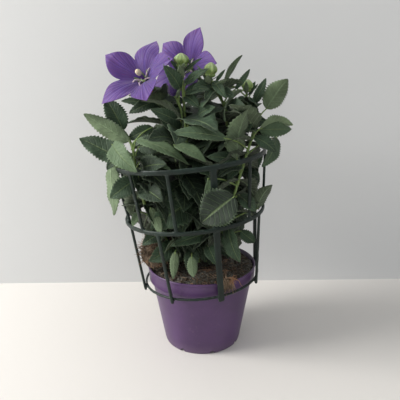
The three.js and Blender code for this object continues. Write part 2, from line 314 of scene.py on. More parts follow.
def coir(name, factor, warm):
    """Dry coir fibre, tan to rusty, changing from strand to strand."""
    tone = tuple(bpy.context.scene.flower_pot.fibre)
    finish = Finish(name, roughness=0.8, specular_ior_level=0.25)
    strand = finish.noise(150, 3)
    light = finish.mix(strand.ramp(0.35, 0.65), shade(tone, 0.3 * factor), shade(tone, 1.3 * factor))
    finish.set("Base Color", finish.mix(finish.noise(60, 2).ramp(0.45, 0.62), light, warm))
    finish.set("Normal", finish.bump(finish.noise(2500, 3), 0.0003, 0.6))
    return finish.material


def stem_skin(name, tone):
    """Green stem: lengthwise streaks, darker blotches here and there and a soft sheen."""
    finish = Finish(name, specular_ior_level=0.4, subsurface_weight=0.08, subsurface_scale=0.002)
    streak = finish.noise(1, 4, stretch=(900, 900, 40))
    patch = finish.noise(45, 3)
    green = finish.mix(streak.ramp(0.3, 0.7), shade(tone, 0.72), shade(tone, 1.25))
    finish.set("Base Color", finish.mix(patch.ramp(0.52, 0.75, 0.0, 0.5), green, shade(tone, 0.45)))
    finish.set("Roughness", patch * 0.2 + 0.42)
    finish.set("Normal", finish.bump(streak, 0.0003, 0.5))
    return finish.material


def leaf_veins(finish):
    """Where the midrib and the side veins run, from 0 to 1, from the blade's own coordinates."""
    along, across = finish.own("along"), finish.own("across").size()
    midrib = across.ramp(0.02, 0.09, 1.0, 0.0)
    waver = finish.noise(90, 2) * 0.25
    side = (along * SIDE_VEINS - across * VEIN_SLANT + waver).line(0.11)
    fade = across.ramp(0.75, 1.0, 1.0, 0.15)
    return midrib, side * fade


def leaf_upper():
    """Upper side of a leaf: matt deep green, quilted between sunken veins, each blade its own tone, and
    painted shade darkening the blades that sit deep in the foliage.
    """
    tone = tuple(bpy.context.scene.flower_plant.leaf)
    finish = Finish("leaf_upper", specular_ior_level=0.32, sheen_weight=0.05, sheen_roughness=0.5)
    tint, across = finish.own("tint"), finish.own("across").size()
    midrib, side = leaf_veins(finish)
    patch = finish.noise(75, 4)
    deep = finish.mix(patch.ramp(0.3, 0.7), shade(tone, 0.7), shade(tone, 1.35))
    fresh = (tone[0] * 2.9, tone[1] * 2.4, tone[2] * 2.3)
    # A tint below 0 darkens the green to as little as 0.3 of its tone: painted shade.
    shaded = finish.mix(tint.ramp(-1.0, 0.0), shade(tone, 0.3), deep)
    green = finish.mix(tint.ramp(0.0, 1.0), shaded, fresh)
    light = shade(fresh, 1.25)
    rim = finish.mix(across.ramp(0.86, 1.0) * 0.4, green, light)
    veined = finish.mix(side * 0.3, rim, light)
    finish.set("Base Color", finish.mix(midrib * 0.62, veined, (0.15, 0.21, 0.09)))
    fine = finish.cells(1100, "DISTANCE_TO_EDGE").ramp(0.0, 0.25)
    finish.set("Roughness", patch * 0.16 + side * 0.08 + 0.44)
    relief = fine * 0.25 - side * 0.8 - midrib * 0.9
    finish.set("Normal", finish.bump(relief, 0.0007, 0.75))
    return finish.material


def leaf_lower():
    """Lower side of a leaf: pale grey-green and dull, with raised veins, darkened with painted shade on
    blades given a low tint.
    """
    plant = bpy.context.scene.flower_plant
    tone = tuple(plant.leaf_under)
    finish = Finish("leaf_lower", specular_ior_level=0.25, sheen_weight=0.12, sheen_roughness=0.6)
    tint = finish.own("tint")
    midrib, side = leaf_veins(finish)
    patch = finish.noise(90, 4)
    pale = finish.mix(patch.ramp(0.3, 0.7), shade(tone, 0.72), shade(tone, 1.12))
    # A tint below 0.8 darkens the underside to as little as a fifth of its tone: painted shade.
    dim = finish.mix(tint.ramp(-1.0, 0.8), shade(tone, 0.2), pale)
    finish.set("Base Color", finish.mix(side * 0.35 + midrib * 0.6, dim, shade(tone, 1.55)))
    finish.set("Roughness", patch * 0.1 + 0.6)
    fine = finish.cells(1000, "DISTANCE_TO_EDGE").ramp(0.0, 0.3, 1.0, 0.0)
    finish.set("Normal", finish.bump(fine * 0.35 + side + midrib * 1.4, 0.0007, 0.7))
    return finish.material


def petal_skin(name, dark, light):
    """Violet petal: veins fanning from the throat, deeper there and paler to the rim, with a soft nap."""
    tone = tuple(bpy.context.scene.flower_plant.petal)
    finish = Finish(
        name, specular_ior_level=0.25, sheen_weight=0.25, sheen_roughness=0.4, subsurface_weight=0.12,
        subsurface_scale=0.002,
    )
    reach, across = finish.own("reach"), finish.own("across")
    waver = finish.noise(130, 3) * 0.5
    fan = (across * (5.0 - reach * 1.2) + waver).line(0.2)
    keel = across.size().ramp(0.03, 0.12, 1.0, 0.0)
    branch = (across * 9.0 + reach * 6.0 + waver).line(0.12) * reach.ramp(0.35, 0.7)
    patch = finish.noise(60, 4)
    body = finish.mix(patch.ramp(0.3, 0.7), shade(tone, 0.85 * dark), shade(tone, 1.15 * dark))
    pale = shade((tone[0] * 1.25, tone[1] * 1.4, tone[2]), 1.3 * light)
    rim = finish.mix(reach.ramp(0.45, 1.0), body, pale)
    throat = finish.mix(reach.ramp(0.08, 0.36, 0.55, 0.0), rim, (0.045, 0.02, 0.16))
    veins = fan * 0.42 + branch * 0.2 + keel * reach.ramp(0.1, 0.9, 0.5, 0.15)
    finish.set("Base Color", finish.mix(veins, throat, (0.07, 0.03, 0.24)))
    finish.set("Roughness", patch * 0.12 + 0.52)
    crinkle = finish.noise(700, 4) * 0.35
    finish.set("Normal", finish.bump(crinkle - fan * 0.6 - keel, 0.0006, 0.6))
    return finish.material


def bud_skin():
    """Green bud: five swollen faces between ribs, the ribs painted pale as a highlight, a painted highlight
    on its top, and yellow-green below.
    """
    tone = tuple(bpy.context.scene.flower_plant.bud)
    finish = Finish("bud_skin", specular_ior_level=0.45, subsurface_weight=0.15, subsurface_scale=0.002)
    reach, across = finish.own("reach"), finish.own("across").size()
    patch = finish.noise(170, 4)
    body = finish.mix(patch.ramp(0.3, 0.7), shade(tone, 0.7), shade(tone, 1.2))
    ribs = across.ramp(0.8, 1.0)
    # The ribs are painted paler: a painted highlight along the ridges.
    lit = finish.mix(ribs * 0.5, body, shade((tone[0] * 1.4, tone[1] * 1.2, tone[2] * 1.8), 1.2))
    # The top of the bud is painted paler: a painted highlight where the light falls from above.
    finish.set("Base Color", finish.mix(reach.ramp(0.55, 1.0) * 0.6, lit, (0.36, 0.42, 0.24)))
    finish.set("Roughness", patch * 0.12 + 0.42)
    veins = (across * 3.0 + finish.noise(200, 2) * 0.3).line(0.14)
    finish.set("Normal", finish.bump(ribs - veins * 0.4 + patch * 0.4, 0.0004, 0.6))
    return finish.material


def stigma_skin(name, tone, deep):
    """Cream stigma or pale filament, faintly granular."""
    finish = Finish(
        name, roughness=0.7, specular_ior_level=0.25, subsurface_weight=0.1, subsurface_scale=0.001,
    )
    grain = finish.noise(1400, 3)
    finish.set("Base Color", finish.mix(grain.ramp(0.35, 0.65), deep, tone))
    finish.set("Normal", finish.bump(grain, 0.0003, 0.6))
    return finish.material


# ---------------------------------------------------------------- reading the frame


def node_points(name):
    """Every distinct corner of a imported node, in metres."""
    corners = np.array([v.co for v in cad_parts[name].data.vertices])
    return np.unique(np.round(corners, 6), axis=0)


def long_axis(points):
    """The direction in which points spread most, and the one in which they spread least."""
    axes = np.linalg.svd(points - points.mean(0), full_matrices=False)[2]
    return axes[0], axes[2]


def measure_leaf(name):
    """A leaf's base, tip, sideways direction, width and bow, read from its plate."""
    points = node_points(name)
    reach = (points - points.mean(0)) @ long_axis(points)[0]
    edge = (reach.max() - reach.min()) / 16
    ends = [points[reach < reach.min() + edge], points[reach > reach.max() - edge]]
    ends.sort(key=lambda end: -np.ptp(end, axis=0).max())
    base, tip = (end.mean(0) for end in ends)
    chord = tip - base
    share = (points - base) @ chord / (chord @ chord)
    middle = points[np.abs(share - 0.5) < 0.06]
    spread = middle - middle.mean(0)
    side = np.linalg.svd(spread, full_matrices=False)[2][0]
    offset = spread @ side
    inner, outer = np.abs(offset) < 0.3 * offset.max(), np.abs(offset) > 0.7 * offset.max()
    normal = np.cross(chord, side) / np.linalg.norm(chord)
    fold = spread[outer].mean(0) - spread[inner].mean(0)
    if fold @ normal < 0:
        normal, side = -normal, -side
    ridge = middle[inner].mean(0)
    widest = points[np.abs(share - 0.375) < 0.07] @ side
    bow = (ridge - (base + tip) / 2) @ normal
    return Vector(base), Vector(tip), Vector(side), float(np.ptp(widest)), float(bow)


def measure_stem(name):
    """The centres of a stem's rings from foot to head, and the way its end faces."""
    points = node_points(name)
    centres = []
    while len(points):
        lowest = points[points[:, 2].argmin()]
        near = np.linalg.norm(points - lowest, axis=1) < 3.2 * MM
        ring = points[near]
        centres.append(Vector(ring.mean(0)))
        points = points[~near]
    facing = Vector(long_axis(ring)[1])
    if facing.dot(centres[-1] - centres[-2]) < 0:
        facing = -facing
    return centres, facing


def measure_hoop(name):
    """A hoop's centre, axis, radius, thickness and height."""
    points = node_points(name)
    centre = (points.max(0) + points.min(0)) / 2
    axis = long_axis(points)[1]
    axis = axis * np.sign(axis[2])
    level = (points - centre) @ axis
    centre = centre + axis * (level.max() + level.min()) / 2
    radial = np.linalg.norm(points - centre - np.outer((points - centre) @ axis, axis), axis=1)
    return Vector(centre), Vector(axis), (radial.max() + radial.min()) / 2, np.ptp(radial), np.ptp(level)


def surface_of(name):
    """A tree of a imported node's faces, to drop points onto."""
    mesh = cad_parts[name].data
    return BVHTree.FromPolygons([v.co for v in mesh.vertices], [p.vertices for p in mesh.polygons])


STEMS = {name: measure_stem(name) for name in STEM_NODES}
SOIL_TREE = surface_of("potting_mix")


def ground(x, y):
    """How high the potting mix stands at a place."""
    hit = SOIL_TREE.ray_cast(Vector((x, y, 1)), -UP)[0]
    return hit.z if hit else POT_HIGH.z - 5 * MM


def along_stem(name, height):
    """The point of a stem's centre line at a height, and the stem's direction there."""
    centres = STEMS[name][0]
    for low, high in zip(centres, centres[1:]):
        if low.z <= height <= high.z:
            return low.lerp(high, (height - low.z) / (high.z - low.z)), (high - low).normalized()
    return centres[-1].copy(), (centres[-1] - centres[-2]).normalized()


# ---------------------------------------------------------------- shared modelling


def draws(kind, index=0):
    """The chances that one piece of a kind draws from."""
    return random.Random(bpy.context.scene.flower_plant.seed + SEEDS[kind] + index)


def outward(turn):
    """The level direction at a turn, in radians round from the right."""
    return Vector((math.cos(turn), math.sin(turn), 0))


def jitter(rng, top=1):
    """A chance direction and length."""
    return Vector((rng.uniform(-1, 1), rng.uniform(-1, 1), rng.uniform(-1, top)))


def linked(name, data):
    """A new object in the scene."""
    made = bpy.data.objects.new(name, data)
    bpy.context.scene.collection.objects.link(made)
    return made


def mesh_of(name, shell):
    """A mesh made from a bmesh, which it uses up."""
    mesh = bpy.data.meshes.new(name)
    shell.to_mesh(mesh)
    shell.free()
    return mesh


def evaluated_mesh(piece):
    """A new mesh of an object as its modifiers or its curve settings leave it."""
    bpy.context.view_layer.update()
    graph = bpy.context.evaluated_depsgraph_get()
    return bpy.data.meshes.new_from_object(piece.evaluated_get(graph))


def settle(piece):
    """Make what a piece's modifiers do its own mesh."""
    settled = evaluated_mesh(piece)
    piece.modifiers.clear()
    piece.data = settled
    settled.name = piece.name


def finish_piece(name, shell, materials, nodes=()):
    """Turn a bmesh into a piece of the plant: named, finished, and riding on the part's body."""
    return add_piece(name, mesh_of(name, shell), materials, nodes)


def add_piece(name, mesh, materials, nodes=()):
    """Add a smooth-shaded mesh to the scene, and say what it is to the frame."""
    mesh.polygons.foreach_set("use_smooth", [True] * len(mesh.polygons))
    piece = linked(name, mesh)
    for material in materials:
        mesh.materials.append(material)
    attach(piece, "root")
    if nodes:
        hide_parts(*nodes)
    return piece


def put_in_order(items, key):
    """Sort the corners or the faces of a bmesh, and number them in that order."""
    for rank, item in enumerate(sorted(items, key=key)):
        item.index = rank
    items.sort()


def spun(shell, profile, axis, centre, steps):
    """Spin a closed outline of (radius, height) about an axis through a centre."""
    across = axis.orthogonal().normalized()
    corners = [shell.verts.new(centre + across * radius + axis * height) for radius, height in profile]
    edges = [shell.edges.new(pair) for pair in zip(corners, corners[1:])]
    bmesh.ops.spin(
        shell, geom=corners + edges, cent=centre, axis=axis, angle=math.tau, steps=steps, use_merge=True,
        use_duplicate=False,
    )
    bmesh.ops.remove_doubles(shell, verts=shell.verts, dist=1e-6)
    bmesh.ops.recalc_face_normals(shell, faces=shell.faces)
    # The merge leaves the corners and faces in no set order, so they are sorted by place.
    put_in_order(shell.verts, lambda vert: vert.co[:])
    put_in_order(shell.faces, lambda face: sorted(vert.index for vert in face.verts))


def tubes(name, runs, thickness, materials, nodes=(), sides=2):
    """Round tubes along smooth runs of (point, share of the thickness), as one piece with closed ends."""
    curve = bpy.data.curves.new(name, "CURVE")
    curve.dimensions = "3D"
    curve.bevel_depth = thickness
    curve.bevel_resolution = sides
    curve.use_fill_caps = True
    for run in runs:
        spline = curve.splines.new("POLY")
        spline.points.add(len(run) - 1)
        for point, (place, share) in zip(spline.points, run):
            point.co = (*place, 1)
            point.radius = share
    shape = linked(name + "_curve", curve)
    mesh = evaluated_mesh(shape)
    mesh.name = name
    bpy.data.objects.remove(shape)
    bpy.data.curves.remove(curve)
    mesh.materials.clear()
    return add_piece(name, mesh, materials, nodes)


def smooth_run(points, steps):
    """A Catmull-Rom curve through points."""
    padded = [points[0] * 2 - points[1], *points, points[-1] * 2 - points[-2]]
    run = []
    for a, b, c, d in zip(padded, padded[1:], padded[2:], padded[3:]):
        for step in range(steps):
            t = step / steps
            bend = (2 * a - 5 * b + 4 * c - d) * t * t
            swing = (3 * b - a - 3 * c + d) * t**3
            run.append(0.5 * (2 * b + (c - a) * t + bend + swing))
    return [*run, points[-1]]


# ---------------------------------------------------------------- leaves


LEAF_FOLD = 0.3


def blade(shell, base, tip, side, width, bow, rng, tint, rows=44, columns=6):
    """Add one leaf blade: ovate and toothed, folded at its midrib, bowed, and a little twisted and waved."""
    chord = tip - base
    reach = chord.length
    forward = chord / reach
    side = (side - forward * side.dot(forward)).normalized()
    normal = forward.cross(side)
    names = ("along", "across", "tint")
    along, across, tone = (shell.verts.layers.float.get(n) or shell.verts.layers.float.new(n) for n in names)
    twist, wave, phase = rng.uniform(-0.35, 0.35), rng.uniform(0.02, 0.05), rng.uniform(0, math.tau)
    hook = rng.uniform(0.02, 0.12)
    made = bmesh.ops.create_grid(shell, x_segments=rows, y_segments=columns, size=0.5)["verts"]
    for vert in made:
        u, v = vert.co.x + 0.5, vert.co.y * 2
        outline = max(0.03, math.sin(math.pi * min(1, u) ** 0.8) ** 0.72)
        row = round(u * rows)
        tooth = 1 - (0.17 * (row % 3) / 2 if 0.08 < u < 0.97 else 0)
        half = width / 2 * outline * v * (1 + (tooth - 1) * abs(v) ** 3)
        vein = math.cos(math.tau * (u * SIDE_VEINS - abs(v) * VEIN_SLANT))
        quilt = 0.00022 * vein * math.sin(math.pi * min(1, abs(v) * 1.1)) ** 2
        ripple = wave * width * abs(v) ** 1.6 * math.sin(phase + math.tau * (u * 2.2 + 0.2 * v))
        fold = LEAF_FOLD * (math.hypot(half, 0.0012) - 0.0012)
        rise = bow * 4 * u * (1 - u) + fold - hook * reach * u**4
        angle = twist * (u - 0.4)
        lift = rise + quilt + ripple + half * math.sin(angle)
        vert.co = base + forward * (u * reach) + side * (half * math.cos(angle)) + normal * lift
        vert[along], vert[across], vert[tone] = u, v, tint


def leaf_piece(name, shell, thickness, nodes=()):
    """A piece of one or more blades, given their thickness, green above and paler below."""
    materials = [bpy.data.materials["leaf_upper"], bpy.data.materials["leaf_lower"]]
    piece = finish_piece(name, shell, materials, nodes)
    solid = piece.modifiers.new("blade_thickness", "SOLIDIFY")
    solid.thickness = thickness
    solid.offset = 0
    solid.material_offset = 1
    solid.material_offset_rim = 1
    return piece


# How fresh the green of a large leaf is, from 0 to 1, with values below 0, down to -1, darkening it with
# painted shade; and the large leaves that are turned so that their pale undersides face the front.
FRESHNESS_AND_SHADE = {
    "leaf_left_1": 0.15, "leaf_left_2": 0.9, "leaf_left_3": 0.0, "leaf_left_4": 0.7, "leaf_left_5": 0.5,
    "leaf_front_1": 0.75, "leaf_front_2": 0.9, "leaf_front_3": 0.35, "leaf_front_4": 0.25,
    "leaf_right_1": 0.45, "leaf_right_2": 0.8, "leaf_right_3": 0.25, "leaf_right_4": -0.35,
    "leaf_top_1": 0.1, "leaf_top_2": 0.45, "leaf_inner_1": -0.95, "leaf_inner_2": -0.3,
    "leaf_low_1": -0.1, "leaf_low_2": -0.2, "leaf_back_1": 0.2, "leaf_back_2": 0.1, "leaf_back_3": 0.0,
}
UNDERSIDES = ("leaf_left_2", "leaf_left_5")
# Where the light that the small leaves turn to comes from: the front, a little above.
FRONT_LIGHT = Vector((0, -0.93, 0.37))

# The small leaves that stand alone between the large ones, stem by stem. Each has, in millimetres and
# degrees, the height where it starts, the way it points (round from the right, so -90 is the front), the
# length of its stalk, the blade's length, its rise above level and its width, and how fresh its green is,
# where the low values darken the blade with painted shade.
SMALL_LEAVES = {
    "stem_bud_middle": [
        (105, -100, 18, 24, -55, 13, 0.0), (110, -65, 26, 20, -35, 11, 0.1),
        (165, -140, 10, 26, -30, 17, 0.0), (210, -135, 6, 24, 30, 13, 0.05),
        (224, -40, 14, 20, 25, 10, 0.1), (240, -45, 2, 18, -25, 10, 0.05), (243, -30, 2, 22, 10, 10, 0.1),
        (246, -130, 3, 26, 45, 12, 0.1), (250, -30, 3, 24, 30, 7, 0.15), (260, -10, 2, 18, 35, 3, 0.3),
        (260, -150, 3, 14, 50, 3, 0.3),
    ],
    "stem_bud_right": [
        (150, -145, 28, 46, -22, 29, 0.1), (180, -110, 24, 24, -50, 14, 0.05),
        (243, -45, 2, 17, -10, 10, 0.1), (246, -120, 2, 17, -25, 9, 0.1), (248, 10, 4, 12, 25, 3, 0.2),
        (250, -145, 2, 18, -10, 9, 0.15), (252, -20, 4, 12, 50, 3, 0.2), (252, -50, 2, 20, -40, 8, 0.3),
        (245, 20, 18, 22, 50, 5, 0.2), (215, -20, 6, 28, 10, 17, -0.1), (228, -60, 5, 24, 10, 15, 0.0),
    ],
    "stem_bud_far_right": [
        (145, 30, 26, 22, 55, 11, 0.0), (165, 15, 12, 26, 45, 12, 0.05), (232, -20, 7, 24, 65, 8, 0.1),
        (238, -50, 3, 25, -60, 7, 0.05), (238, -150, 2, 14, -30, 6, 0.2), (240, -10, 3, 12, 70, 4, 0.2),
        (195, -150, 6, 32, 10, 18, -0.1), (208, -110, 4, 30, 5, 17, -0.1),
        (220, -160, 4, 28, 10, 15, 0.0),
    ],
    "stem_bud_purple": [
        (107, -145, 14, 30, -20, 18, 0.0), (172, -150, 22, 22, -35, 14, 0.0),
        (215, 180, 24, 24, -25, 11, 0.1), (220, -145, 4, 26, 25, 11, 0.05),
    ],
    "stem_flower_left": [(230, -165, 4, 36, 10, 11, 0.0), (235, -155, 8, 26, -20, 11, 0.0)],
    "stem_right": [
        (120, -160, 12, 38, -10, 12, 0.15), (120, 0, 16, 18, -40, 11, 0.1),
        (158, -20, 4, 20, -40, 12, 0.05), (178, -140, 36, 24, -80, 5, 0.95),
        (185, -145, 4, 18, -40, 8, 0.2), (188, -160, 4, 30, 10, 11, 0.05),
        (206, -20, 2, 22, -30, 12, 0.05), (212, 0, 4, 28, 0, 13, 0.6),
    ],
    "stem_left": [
        (118, -140, 2, 20, -15, 13, 0.0), (143, -145, 8, 14, -55, 7, 0.9),
        (172, -150, 3, 25, -30, 17, 0.05), (192, -35, 12, 28, -15, 6, 0.7),
        (197, -165, 10, 20, -50, 9, 0.2), (165, -50, 6, 28, -10, 18, -0.2),
        (182, -40, 6, 30, 15, 18, -0.2), (200, -20, 6, 26, 10, 16, -0.1),
    ],
}
# The small leaves that hang with their pale undersides to the front, in the same way.
PALE_LEAVES = {
    "stem_bud_purple": [(108, -110, 32, 24, -75, 8, 0.55), (105, -85, 34, 20, -40, 9, 0.6)],
    "stem_left": [(148, -55, 9, 26, -50, 9, 0.8)],
}


def leaf_side(base, tip, roll):
    """The sideways direction of a leaf whose blade is rolled about its length from lying level."""
    forward = (tip - base).normalized()
    return Matrix.Rotation(math.radians(roll), 3, forward) @ UP.cross(forward).normalized()


def foliage_reach(height, direction):
    """How far from the middle the inner foliage spreads, less at the front, where single leaves are seen."""
    low, waist, top = 0.085, 0.135, 0.205
    spread = 0.030 + 0.034 * min(1, max(0, (height - low) / (waist - low)))
    if height > top:
        spread += 0.010 - 0.3 * max(0, height - top - 0.02)
    front = max(0.0, -direction.y)
    return spread - 0.008 * front


def held_in(tip):
    """A leaf's tip, drawn in to where the inner foliage ends; the plant leans a little to the left."""
    level = Vector((tip.x, tip.y, 0))
    middle = Vector((-0.09 * (tip.z - 0.07), 0, 0))
    over = (level - middle).length - foliage_reach(tip.z, level.normalized())
    return tip - (level - middle).normalized() * max(0, over)


# Where the sprays of leaves start and stop on a stem, the shortest and the widest of their leaves, and how
# far below its blade a stalk leaves the stem, in metres.
SPRAY_FOOT, SPRAY_TOP, SPRAY_TOP_BUD = 0.094, 0.236, 0.248
SPRAY_SHORTEST, SPRAY_WIDEST, STALK_CLIMB = 0.016, 0.030, 0.012


class FLOWER_OT_leaves(bpy.types.Operator):
    """Build every leaf: the large ones one by one, and the smaller ones in sprays on their stems"""

    bl_idname = "flower.leaves"
    bl_label = "Leaves"

    def execute(self, context):
        plant = context.scene.flower_plant
        leaf_upper()
        leaf_lower()
        stalks = []
        for index, name in enumerate(LEAF_NODES):
            base, tip, side, width, bow = measure_leaf(name)
            if name in UNDERSIDES:
                side, bow = -side, -bow
            shell = bmesh.new()
            blade(shell, base, tip, side, width * 1.08, bow, draws("leaves", index), FRESHNESS_AND_SHADE[name])
            leaf_piece("blade" + name.removeprefix("leaf"), shell, plant.leaf_thickness, [name])
            stalks.append((base, tip))

        shell = bmesh.new()
        for leaves, light in ((SMALL_LEAVES, FRONT_LIGHT), (PALE_LEAVES, -FRONT_LIGHT)):
            for stem, rows in leaves.items():
                for row in rows:
                    rng = draws("small_leaves", len(stalks))
                    stalks.append(self.single_leaf(shell, stem, row, light, rng))
        leaf_piece("small_leaves", shell, plant.leaf_thickness)

        for index, name in enumerate(STEM_NODES):
            shell = bmesh.new()
            self.spray(shell, name, draws("sprays", index))
            leaf_piece("spray" + name.removeprefix("stem"), shell, plant.leaf_thickness)
        self.stalks(stalks)
        return {"FINISHED"}

    @staticmethod
    def single_leaf(shell, stem, row, light, rng):
        """One small leaf, its upper face turned to the light; gives its foot and its tip."""
        height, way, stalk, reach, rise, width, green = row
        start, _ = along_stem(stem, height * MM)
        out = Matrix.Rotation(math.radians(way), 3, "Z") @ Vector((1, 0, 0))
        base = start + out * stalk * MM
        forward = (out + UP * math.tan(math.radians(rise))).normalized()
        tip = base + forward * reach * MM
        side = Matrix.Rotation(rng.uniform(-0.25, 0.25), 3, forward) @ light.cross(forward).normalized()
        # Greens below about 0.3 give a tint below 0, which the leaf finishes paint as shade.
        bow, tint = 0.09 * reach * MM, green * 1.2 - 0.35
        blade(shell, base, tip, side, width * 1.1 * MM, bow, rng, tint, rows=33)
        return base, tip

    @staticmethod
    def spray(shell, stem, rng):
        """The leaves up one stem, three to a node, each turned on from the last."""
        last = STEMS[stem][0][-1].z
        top = min(last - 0.008, SPRAY_TOP_BUD if "bud" in stem else SPRAY_TOP)
        height, turn = SPRAY_FOOT, rng.uniform(0, math.tau)
        while height < top:
            point, _ = along_stem(stem, height)
            for _ in range(3):
                turn += math.tau / 3 + rng.uniform(-0.35, 0.35)
                out = outward(turn)
                size = rng.uniform(0.034, 0.052) * (0.75 if height < 0.115 else 0.55 if height > 0.225 else 1)
                # The low leaves hang, and the high ones stand up more.
                rise = min(1, max(0, (height - 0.15) / 0.07))
                climb = rng.uniform(-1.0, -0.1) * (1 - rise) + rng.uniform(-0.4, 0.7) * rise
                tip = held_in(point + (out * math.cos(climb) + UP * math.sin(climb)) * size)
                # The front of the middle stem's top is left to its single leaves.
                gap = stem == "stem_bud_middle" and height > 0.195 and out.y < 0.2
                buried = tip.z < ground(tip.x, tip.y) + 0.002
                if gap or buried or (tip - point).length < SPRAY_SHORTEST:
                    continue
                side = leaf_side(point, tip, rng.uniform(-35, 35))
                width = min(SPRAY_WIDEST, (tip - point).length * rng.uniform(0.56, 0.76))
                bow = rng.uniform(0.001, 0.004)
                # Spray leaves are darkened with painted shade, most deeply low on the stem and less so higher
                # up.
                depth = min(1.0, max(0.0, (height - 0.17) / 0.06))
                tint = rng.uniform(-0.95, -0.45) + 0.5 * depth
                blade(shell, point, tip, side, width, bow, rng, tint, rows=18, columns=4)
            turn += 0.6
            height += rng.uniform(0.009, 0.013)

    @staticmethod
    def stalks(stalks):
        """The short stalks that join the single leaves to the nearest stem."""
        runs = []
        for base, tip in stalks:
            level = base.z - STALK_CLIMB
            starts = [along_stem(name, level)[0] for name in STEM_NODES]
            start = min(starts, key=lambda place: (place - base).length)
            bend = start.lerp(base, 0.5) + UP * 0.002
            inner = base + (tip - base).normalized() * 0.002
            points = smooth_run([start, bend, base, inner], 4)
            runs.append([(point, 1.0 - 0.45 * i / (len(points) - 1)) for i, point in enumerate(points)])
        tubes("leaf_stalks", runs, 0.00075, [bpy.data.materials["stem_green"]], sides=1)


# ---------------------------------------------------------------- pot, soil and cage


# The four places round the rim band, in degrees from the front, where it is a little thicker.
BAND_MARKS, MARK_HALF, MARK_STEP = (-26, 64, 154, 244), 6.1, 0.45 * MM
DRAINS, FIRST_DRAIN = 8, math.radians(14)


class FLOWER_OT_pot(bpy.types.Operator):
    """Build the pot: a thin tapered shell with a stepped rim band and drain notches at its foot"""

    bl_idname = "flower.pot"
    bl_label = "Pot"

    def execute(self, context):
        pot = context.scene.flower_pot
        foot = pot.height - pot.band_height
        rim, wall, mm = pot.rim_radius, pot.wall, MM
        under = rim - pot.band_step
        floor = 1.8 * mm
        slope = (under - pot.base_radius) / foot
        profile = [
            (0, 0.25 * mm),
            (pot.base_radius - 6 * mm, 0.25 * mm),
            (pot.base_radius - 5 * mm, 0),
            (pot.base_radius - 0.9 * mm, 0),
            (pot.base_radius - 0.25 * mm, 0.25 * mm),
            (pot.base_radius + 0.02 * mm, 1 * mm),
            *((pot.base_radius + slope * h, h) for h in (4 * mm, 20 * mm, 40 * mm, foot - 2 * mm)),
            (under - 0.1 * mm, foot - 0.4 * mm),
            (under + 0.4 * mm, foot),
            (rim - 1.5 * mm, foot),
            (rim - 1.0 * mm, foot + 0.2 * mm),
            (rim - 0.85 * mm, foot + 0.8 * mm),
            (rim - 0.35 * mm, pot.height - 3.2 * mm),
            (rim - 0.3 * mm, pot.height - 2.4 * mm),
            (rim, pot.height - 2.1 * mm),
            (rim, pot.height - 0.7 * mm),
            (rim - 0.25 * mm, pot.height - 0.15 * mm),
            (rim - 0.7 * mm, pot.height),
            (rim - wall, pot.height - 0.3 * mm),
            (rim - wall - 0.8 * mm, foot + 1.4 * mm),
            (under - wall, foot - 1 * mm),
            (pot.base_radius + slope * floor - wall, floor + 1 * mm),
            (pot.base_radius - wall - 1.2 * mm, floor),
            (0, floor),
        ]
        shell = bmesh.new()
        spun(shell, profile, UP, Vector(), 180)
        for vert in shell.verts:
            if vert.co.z > foot + 0.5 * mm and vert.co.xy.length > rim - 1.15 * mm:
                turn = math.degrees(math.atan2(vert.co.x, -vert.co.y))
                if any(abs((turn - mark + 180) % 360 - 180) < MARK_HALF for mark in BAND_MARKS):
                    vert.co.xy *= 1 + MARK_STEP / rim
        piece = finish_piece("pot_shell", shell, [pot_plastic()], ["pot"])
        self.drain(piece, pot)
        return {"FINISHED"}

    @staticmethod
    def drain(piece, pot):
        """Cut the drain notches through the foot of the wall."""
        shell = bmesh.new()
        for index in range(DRAINS):
            turn = FIRST_DRAIN + math.tau * index / DRAINS
            place = Matrix.Translation(outward(turn) * pot.drain_ring)
            bmesh.ops.create_cone(
                shell, cap_ends=True, segments=16, radius1=pot.drain_radius, radius2=pot.drain_radius,
                depth=5 * MM, matrix=place,
            )
        cutter = linked("drain_cutter", mesh_of("drain_cutter", shell))
        cut = piece.modifiers.new("drain", "BOOLEAN")
        cut.operation, cut.solver, cut.object = "DIFFERENCE", "EXACT", cutter
        settle(piece)
        bpy.data.objects.remove(cutter)


class FLOWER_OT_cage(bpy.types.Operator):
    """Build the support cage as the one moulding that it is, with its hoops and ribs run together"""

    bl_idname = "flower.cage"
    bl_label = "Support cage"

    def execute(self, context):
        cage = context.scene.flower_cage
        shell = bmesh.new()
        for name in HOOP_NODES:
            centre, axis, radius, thick, height = measure_hoop(name)
            half, up = thick / 2 + cage.swell * 0.6, height / 2 + cage.swell * 0.3
            ring = []
            for step in range(12):
                a, b = (trig(math.radians(15 + 30 * step)) for trig in (math.cos, math.sin))
                ring.append((radius + half * (a * abs(a) ** -0.55), up * (b * abs(b) ** -0.55)))
            spun(shell, [*ring, ring[0]], axis, centre, 240)
        for name in RIB_NODES:
            bar = bmesh.new()
            bar.from_mesh(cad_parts[name].data)
            bmesh.ops.remove_doubles(bar, verts=bar.verts, dist=1e-6)
            points = np.array([v.co for v in bar.verts])
            centre, axis = Vector(points.mean(0)), Vector(long_axis(points)[0])
            span = np.ptp(points @ np.array(axis))
            bar.normal_update()
            for vert in bar.verts:
                vert.co += vert.normal * cage.swell
                vert.co += axis * ((vert.co - centre).dot(axis) * 1.4 * MM / span)
            mesh = mesh_of(name, bar)
            shell.from_mesh(mesh)
            bpy.data.meshes.remove(mesh)
        nodes = [*HOOP_NODES, *RIB_NODES]
        piece = finish_piece("support_cage", shell, [cage_plastic()], nodes)
        skin = piece.modifiers.new("moulding", "REMESH")
        skin.mode, skin.voxel_size, skin.use_smooth_shade = "VOXEL", cage.grain, True
        soften = piece.modifiers.new("fillets", "SMOOTH")
        soften.factor, soften.iterations = 0.5, 4
        settle(piece)
        return {"FINISHED"}


FIBRE_RADIUS = 0.00026


